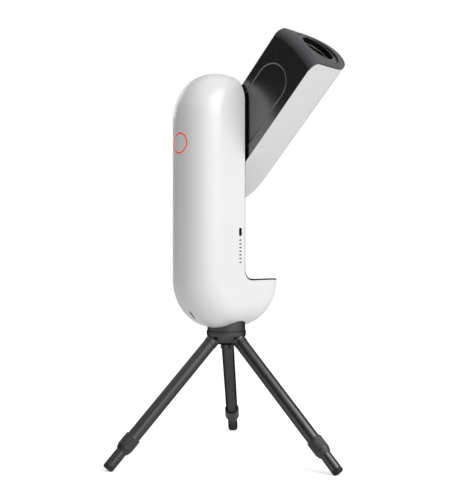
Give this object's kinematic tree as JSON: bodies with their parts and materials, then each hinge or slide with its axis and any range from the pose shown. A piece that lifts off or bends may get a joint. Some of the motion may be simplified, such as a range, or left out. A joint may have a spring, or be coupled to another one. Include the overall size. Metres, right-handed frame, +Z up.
{
  "type": "smart telescope",
  "caption": "Upright capsule telescope on a mini tripod: the body pans, a side arm carrying the lens tilts, and the arm folds lens down onto a step in the body.",
  "frame": {"origin": "middle of the object's footprint, on the ground under the feet", "axes": "+Z up; the lens arm is on the +X side of the body and leans towards -Y, the front"},
  "size_m": [0.3527, 0.3337, 0.6686],
  "materials": {
    "white_shell": "semi-gloss white",
    "dark_gloss": "gloss black",
    "satin_grey": "satin dark grey",
    "black_plastic": "fine matt",
    "black_anodised": "satin black anodised",
    "bare_aluminium": "machined",
    "steel": "ground",
    "brass": "cut teeth",
    "rubber": "matt",
    "lens_glass": "coated",
    "orange_ring": "red-orange light guide",
    "circuit_board": "solder mask",
    "battery_wrap": "shrink sleeve"
  },
  "bodies": {
    "tripod": {"tripod_crown": "black_anodised", "tripod_screw": "black_anodised", "azimuth_hub": "bare_aluminium", "azimuth_ring_gear": "brass", "azimuth_inner_race": "steel", "upper_leg_tube_1": "black_anodised", "upper_leg_tube_2": "black_anodised", "upper_leg_tube_3": "black_anodised"},
    "twist_collar_1": {"twist_collar_1": "black_plastic"},
    "twist_collar_2": {"twist_collar_2": "black_plastic"},
    "twist_collar_3": {"twist_collar_3": "black_plastic"},
    "lower_leg_1": {"lower_leg_tube_1": "black_anodised", "rubber_foot_1": "rubber"},
    "lower_leg_2": {"lower_leg_tube_2": "black_anodised", "rubber_foot_2": "rubber"},
    "lower_leg_3": {"lower_leg_tube_3": "black_anodised", "rubber_foot_3": "rubber"},
    "head": {"body_shell": "white_shell", "body_liner": "dark_gloss", "neck_collar": "black_anodised", "chassis_frame": "bare_aluminium", "azimuth_outer_race": "steel", "azimuth_motor": "steel", "altitude_motor": "steel", "altitude_outer_race": "steel", "main_board": "circuit_board", "battery_pack": "battery_wrap", "light_ring": "orange_ring", "button_spring": "rubber", "button_plate": "circuit_board", "power_socket": "black_plastic"},
    "azimuth_pinion": {"azimuth_pinion": "brass"},
    "altitude_pinion": {"altitude_pinion": "brass"},
    "power_button": {"power_button": "white_shell"},
    "arm": {"arm_shell": "white_shell", "arm_inner_cover": "dark_gloss", "axle_plate": "dark_gloss", "end_cap": "satin_grey", "lens_barrel": "black_anodised", "front_lens": "lens_glass", "lens_retainer": "black_plastic", "rear_lens": "lens_glass", "rear_lens_cell": "black_anodised", "arm_spine": "bare_aluminium", "barrel_saddle_front": "bare_aluminium", "barrel_saddle_rear": "bare_aluminium", "altitude_shaft": "steel", "shaft_nut": "steel", "altitude_gear": "brass", "altitude_inner_race": "steel", "focus_motor": "steel"},
    "front_ring": {"front_ring": "satin_grey"},
    "camera": {"camera_carriage": "black_anodised", "sensor_board": "circuit_board", "cooling_fins": "bare_aluminium"},
    "focus_screw": {"focus_screw": "steel"}
  },
  "joints": [
    {"name": "azimuth", "type": "hinge", "parent": "tripod", "child": "head", "pos_m": [0.015, 0.035, 0.2082], "axis": [0, 0, 1], "continuous": true},
    {"name": "azimuth_pinion_spin", "type": "hinge", "parent": "head", "child": "azimuth_pinion", "pos_m": [0.05575, 0.035, 0.2452], "axis": [0, 0, 1], "continuous": true},
    {"name": "altitude", "type": "hinge", "parent": "head", "child": "arm", "pos_m": [0.015, 0.035, 0.4912], "axis": [1, 0, 0], "range_deg": [-44.5, 135.5]},
    {"name": "altitude_pinion_spin", "type": "hinge", "parent": "head", "child": "altitude_pinion", "pos_m": [-0.014, 0.035, 0.44595], "axis": [1, 0, 0], "range_deg": [-545, 181]},
    {"name": "power_button_press", "type": "slide", "parent": "head", "child": "power_button", "axis": [1, 0, 0], "range_m": [0, 0.0008], "stiffness_N_per_m": 2500},
    {"name": "front_ring_twist", "type": "hinge", "parent": "arm", "child": "front_ring", "pos_m": [0.0635, -0.10729, 0.63599], "axis": [0, -0.7009, 0.7133], "range_deg": [0, 20]},
    {"name": "focus_travel", "type": "slide", "parent": "arm", "child": "camera", "axis": [0, -0.7009, 0.7133], "range_m": [-0.003, 0.003]},
    {"name": "focus_screw_turn", "type": "hinge", "parent": "arm", "child": "focus_screw", "pos_m": [0.1, 0.01173, 0.51488], "axis": [0, -0.7009, 0.7133], "range_deg": [-275, 275]},
    {"name": "leg_1_extension", "type": "slide", "parent": "tripod", "child": "lower_leg_1", "axis": [0.5365, 0.4313, -0.7254], "range_m": [-0.02, 0.09]},
    {"name": "leg_2_extension", "type": "slide", "parent": "tripod", "child": "lower_leg_2", "axis": [-0.6418, 0.2489, -0.7254], "range_m": [-0.02, 0.09]},
    {"name": "leg_3_extension", "type": "slide", "parent": "tripod", "child": "lower_leg_3", "axis": [0.1053, -0.6803, -0.7254], "range_m": [-0.02, 0.09]},
    {"name": "leg_1_lock", "type": "hinge", "parent": "tripod", "child": "twist_collar_1", "pos_m": [0.14547, 0.1399, 0.03619], "axis": [0.5365, 0.4313, -0.7254], "range_deg": [0, 90]},
    {"name": "leg_2_lock", "type": "hinge", "parent": "tripod", "child": "twist_collar_2", "pos_m": [-0.14108, 0.09554, 0.03619], "axis": [-0.6418, 0.2489, -0.7254], "range_deg": [0, 90]},
    {"name": "leg_3_lock", "type": "hinge", "parent": "tripod", "child": "twist_collar_3", "pos_m": [0.04061, -0.13044, 0.03619], "axis": [0.1053, -0.6803, -0.7254], "range_deg": [0, 90]}
  ],
  "couplings": [
    {"joint": "azimuth_pinion_spin", "follows": "azimuth", "ratio": 3.5},
    {"joint": "altitude_pinion_spin", "follows": "altitude", "ratio": -4},
    {"joint": "focus_screw_turn", "follows": "focus_travel", "rad_per_m": 1570.8}
  ]
}
